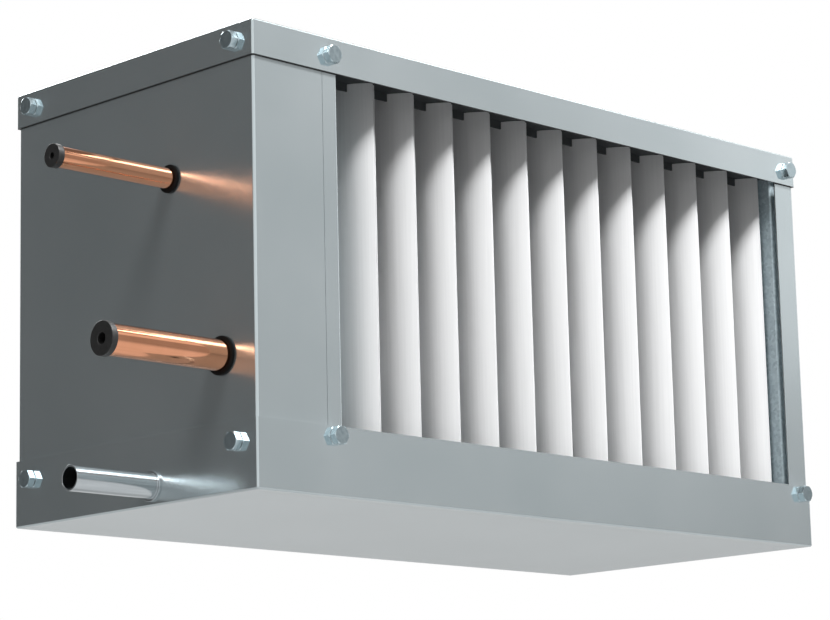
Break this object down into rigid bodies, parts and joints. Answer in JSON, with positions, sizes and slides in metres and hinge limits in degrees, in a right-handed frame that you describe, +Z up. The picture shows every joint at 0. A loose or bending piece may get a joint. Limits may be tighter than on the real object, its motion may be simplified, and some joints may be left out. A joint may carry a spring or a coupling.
{
  "type": "duct cooling coil",
  "caption": "Finned refrigerant cooling coil with a droplet eliminator in a folded steel casing for a rectangular air duct.",
  "frame": {"origin": "centre of the underside of the bottom pan", "axes": "+Z up; the air leaves through the blades at -Y; the copper pipes leave the side at -X"},
  "size_m": [0.7206, 0.2882, 0.327],
  "materials": {
    "galvanised_casing": "smooth galvanised sheet, satin",
    "spangled_zinc": "bare hot-dip zinc with a fine spangle",
    "stainless_tray": "stainless sheet, mill finish",
    "fin_aluminium": "bright thin sheet",
    "copper": "drawn copper tube, semi-bright",
    "brass": "turned brass",
    "black_rubber": "matt black rubber",
    "black_plastic": "matt black moulded plastic",
    "white_polypropylene": "satin white extruded plastic",
    "zinc_plated_steel": "bright zinc plate"
  },
  "bodies": {
    "root": {"bottom_pan": "galvanised_casing", "top_cover": "galvanised_casing", "left_side_panel": "galvanised_casing", "right_side_panel": "galvanised_casing", "duct_wall_left": "galvanised_casing", "duct_wall_right": "spangled_zinc", "drip_tray": "stainless_tray", "drain_pipe": "stainless_tray", "coil_end_plate_left": "spangled_zinc", "coil_end_plate_right": "spangled_zinc", "coil_support_channel": "spangled_zinc", "coil_top_channel": "spangled_zinc", "fin_pack": "fin_aluminium", "coil_hairpins": "copper", "return_bends": "copper", "suction_header": "copper", "suction_connection": "copper", "liquid_connection": "copper", "distributor": "brass", "capillaries": "copper", "suction_grommet": "black_rubber", "liquid_grommet": "black_rubber", "blade_rail_top": "spangled_zinc", "blade_rail_bottom": "spangled_zinc", "casing_bolts": "zinc_plated_steel", "casing_nuts": "zinc_plated_steel", "blade_01": "white_polypropylene", "blade_02": "white_polypropylene", "blade_03": "white_polypropylene", "blade_04": "white_polypropylene", "blade_05": "white_polypropylene", "blade_06": "white_polypropylene", "blade_07": "white_polypropylene", "blade_08": "white_polypropylene", "blade_09": "white_polypropylene", "blade_10": "white_polypropylene", "blade_11": "white_polypropylene", "blade_12": "white_polypropylene"},
    "suction_plug": {"suction_plug": "black_plastic"},
    "liquid_plug": {"liquid_plug": "black_plastic"}
  },
  "joints": [
    {"name": "suction_plug_pull", "type": "slide", "parent": "root", "child": "suction_plug", "axis": [-1, 0, 0], "range_m": [0, 0.06]},
    {"name": "liquid_plug_pull", "type": "slide", "parent": "root", "child": "liquid_plug", "axis": [-1, 0, 0], "range_m": [0, 0.06]}
  ]
}
